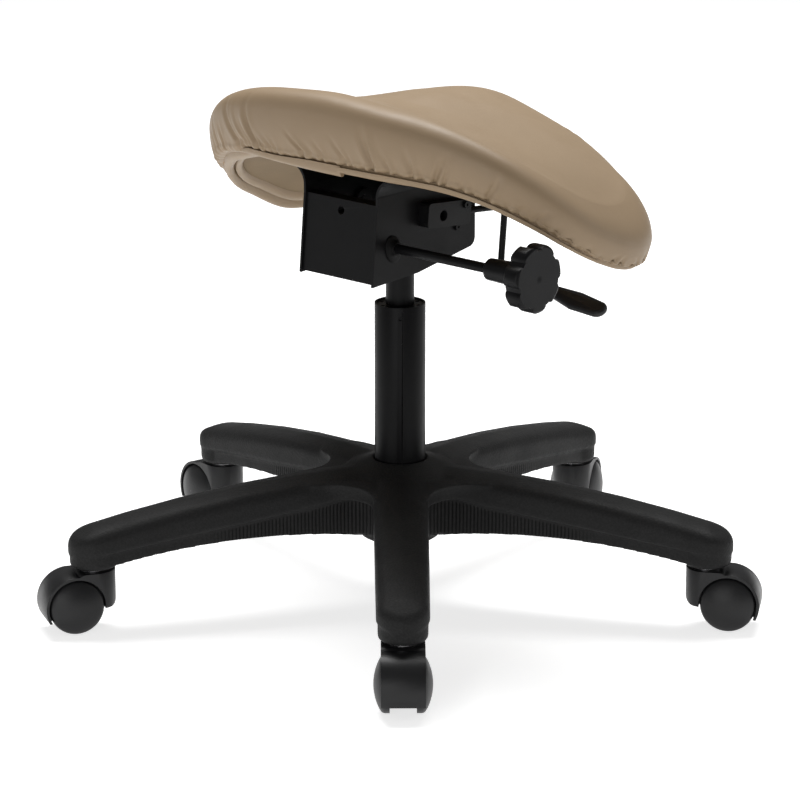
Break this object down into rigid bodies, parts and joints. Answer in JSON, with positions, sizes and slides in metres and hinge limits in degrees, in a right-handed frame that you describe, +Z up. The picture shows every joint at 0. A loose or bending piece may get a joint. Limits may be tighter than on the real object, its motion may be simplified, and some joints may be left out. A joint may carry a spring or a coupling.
{
  "type": "drafting stool",
  "caption": "Saddle-seat drafting stool on a five-legged caster base, with a height lever and a seat tilt clamped by a hand knob.",
  "frame": {"origin": "the floor, on the axis of the column", "axes": "+X is the sitter's right, +Y is forward, +Z is up"},
  "size_m": [0.7029, 0.6959, 0.524],
  "materials": {
    "base_nylon": "fine moulded grain",
    "caster_nylon": "satin moulded",
    "moulded_black": "satin moulded",
    "gloss_black": "semi-gloss moulded",
    "black_steel": "satin black powder coat",
    "bright_steel": "plain steel",
    "black_rubber": "matte",
    "plywood": "bare plywood",
    "tan_vinyl": "soft matte vinyl",
    "tan_cloth": "plain woven backing"
  },
  "bodies": {
    "base": {"star_base": "base_nylon", "outer_tube": "black_steel", "guide_bush": "moulded_black", "thrust_bearing": "bright_steel"},
    "rod": {"piston_rod": "bright_steel", "retaining_clip": "bright_steel", "buffer_ring": "black_rubber"},
    "lift": {"gas_cylinder": "black_steel", "socket_housing": "black_steel", "clamp_nut": "bright_steel", "clamp_washer": "bright_steel"},
    "button": {"release_button": "bright_steel"},
    "seat": {"seat_bracket": "black_steel", "pivot_bolts": "black_steel", "lever_block": "moulded_black", "block_screws": "black_steel", "seat_board": "plywood", "seat_bolts": "black_steel", "t_nuts": "bright_steel", "seat_cushion": "tan_vinyl", "hem_band": "tan_vinyl", "dust_cloth": "tan_cloth"},
    "lever": {"lever_rod": "black_steel", "lever_paddle": "gloss_black"},
    "knob": {"clamp_knob": "moulded_black", "clamp_rod": "black_steel"},
    "caster_1": {"caster_1_stem": "bright_steel", "caster_1_hood": "caster_nylon", "caster_1_axle": "bright_steel"},
    "caster_1_left": {"caster_1_left_wheel": "caster_nylon"},
    "caster_1_right": {"caster_1_right_wheel": "caster_nylon"},
    "caster_2": {"caster_2_stem": "bright_steel", "caster_2_hood": "caster_nylon", "caster_2_axle": "bright_steel"},
    "caster_2_left": {"caster_2_left_wheel": "caster_nylon"},
    "caster_2_right": {"caster_2_right_wheel": "caster_nylon"},
    "caster_3": {"caster_3_stem": "bright_steel", "caster_3_hood": "caster_nylon", "caster_3_axle": "bright_steel"},
    "caster_3_left": {"caster_3_left_wheel": "caster_nylon"},
    "caster_3_right": {"caster_3_right_wheel": "caster_nylon"},
    "caster_4": {"caster_4_stem": "bright_steel", "caster_4_hood": "caster_nylon", "caster_4_axle": "bright_steel"},
    "caster_4_left": {"caster_4_left_wheel": "caster_nylon"},
    "caster_4_right": {"caster_4_right_wheel": "caster_nylon"},
    "caster_5": {"caster_5_stem": "bright_steel", "caster_5_hood": "caster_nylon", "caster_5_axle": "bright_steel"},
    "caster_5_left": {"caster_5_left_wheel": "caster_nylon"},
    "caster_5_right": {"caster_5_right_wheel": "caster_nylon"}
  },
  "joints": [
    {"name": "seat_swivel", "type": "hinge", "parent": "base", "child": "rod", "pos_m": [0, 0, 0.059], "axis": [0, 0, 1], "continuous": true},
    {"name": "seat_height", "type": "slide", "parent": "rod", "child": "lift", "axis": [0, 0, 1], "range_m": [0, 0.12]},
    {"name": "valve_press", "type": "slide", "parent": "lift", "child": "button", "axis": [0, 0, -1], "range_m": [0, 0.0048]},
    {"name": "seat_tilt", "type": "hinge", "parent": "lift", "child": "seat", "pos_m": [0, -0.005, 0.3975], "axis": [-1, 0, 0], "range_deg": [-5, 8]},
    {"name": "lever_lift", "type": "hinge", "parent": "seat", "child": "lever", "pos_m": [0.0545, 0, 0.398], "axis": [0, -0.9954, 0.0958], "range_deg": [0, 5], "stiffness_Nm_per_rad": 1.5, "springref_deg": -5.73},
    {"name": "clamp_turn", "type": "hinge", "parent": "lift", "child": "knob", "pos_m": [0, -0.064, 0.3745], "axis": [1, 0, 0], "range_deg": [0, 720]},
    {"name": "caster_1_swivel", "type": "hinge", "parent": "base", "child": "caster_1", "pos_m": [0.21146, -0.23077, 0.06], "axis": [0, 0, 1], "continuous": true},
    {"name": "caster_1_left_roll", "type": "hinge", "parent": "caster_1", "child": "caster_1_left", "pos_m": [0.22632, -0.24699, 0.027], "axis": [0.7373, 0.6756, 0], "continuous": true},
    {"name": "caster_1_right_roll", "type": "hinge", "parent": "caster_1", "child": "caster_1_right", "pos_m": [0.22632, -0.24699, 0.027], "axis": [0.7373, 0.6756, 0], "continuous": true},
    {"name": "caster_2_swivel", "type": "hinge", "parent": "base", "child": "caster_2", "pos_m": [0.28482, 0.1298, 0.06], "axis": [0, 0, 1], "continuous": true},
    {"name": "caster_2_left_roll", "type": "hinge", "parent": "caster_2", "child": "caster_2_left", "pos_m": [0.30337, 0.14162, 0.027], "axis": [-0.5373, 0.8434, 0], "continuous": true},
    {"name": "caster_2_right_roll", "type": "hinge", "parent": "caster_2", "child": "caster_2_right", "pos_m": [0.30337, 0.14162, 0.027], "axis": [-0.5373, 0.8434, 0], "continuous": true},
    {"name": "caster_3_swivel", "type": "hinge", "parent": "base", "child": "caster_3", "pos_m": [-0.03543, 0.31099, 0.06], "axis": [0, 0, 1], "continuous": true},
    {"name": "caster_3_left_roll", "type": "hinge", "parent": "caster_3", "child": "caster_3_left", "pos_m": [-0.04525, 0.33068, 0.027], "axis": [-0.8949, -0.4462, 0], "continuous": true},
    {"name": "caster_3_right_roll", "type": "hinge", "parent": "caster_3", "child": "caster_3_right", "pos_m": [-0.04525, 0.33068, 0.027], "axis": [-0.8949, -0.4462, 0], "continuous": true},
    {"name": "caster_4_swivel", "type": "hinge", "parent": "base", "child": "caster_4", "pos_m": [-0.30672, 0.0624, 0.06], "axis": [0, 0, 1], "continuous": true},
    {"name": "caster_4_left_roll", "type": "hinge", "parent": "caster_4", "child": "caster_4_left", "pos_m": [-0.32827, 0.06679, 0.027], "axis": [-0.1994, -0.9799, 0], "continuous": true},
    {"name": "caster_4_right_roll", "type": "hinge", "parent": "caster_4", "child": "caster_4_right", "pos_m": [-0.32827, 0.06679, 0.027], "axis": [-0.1994, -0.9799, 0], "continuous": true},
    {"name": "caster_5_swivel", "type": "hinge", "parent": "base", "child": "caster_5", "pos_m": [-0.15413, -0.27242, 0.06], "axis": [0, 0, 1], "continuous": true},
    {"name": "caster_5_left_roll", "type": "hinge", "parent": "caster_5", "child": "caster_5_left", "pos_m": [-0.16496, -0.29157, 0.027], "axis": [0.8704, -0.4924, 0], "continuous": true},
    {"name": "caster_5_right_roll", "type": "hinge", "parent": "caster_5", "child": "caster_5_right", "pos_m": [-0.16496, -0.29157, 0.027], "axis": [0.8704, -0.4924, 0], "continuous": true}
  ],
  "couplings": [
    {"joint": "valve_press", "follows": "lever_lift", "m_per_rad": 0.0545}
  ]
}
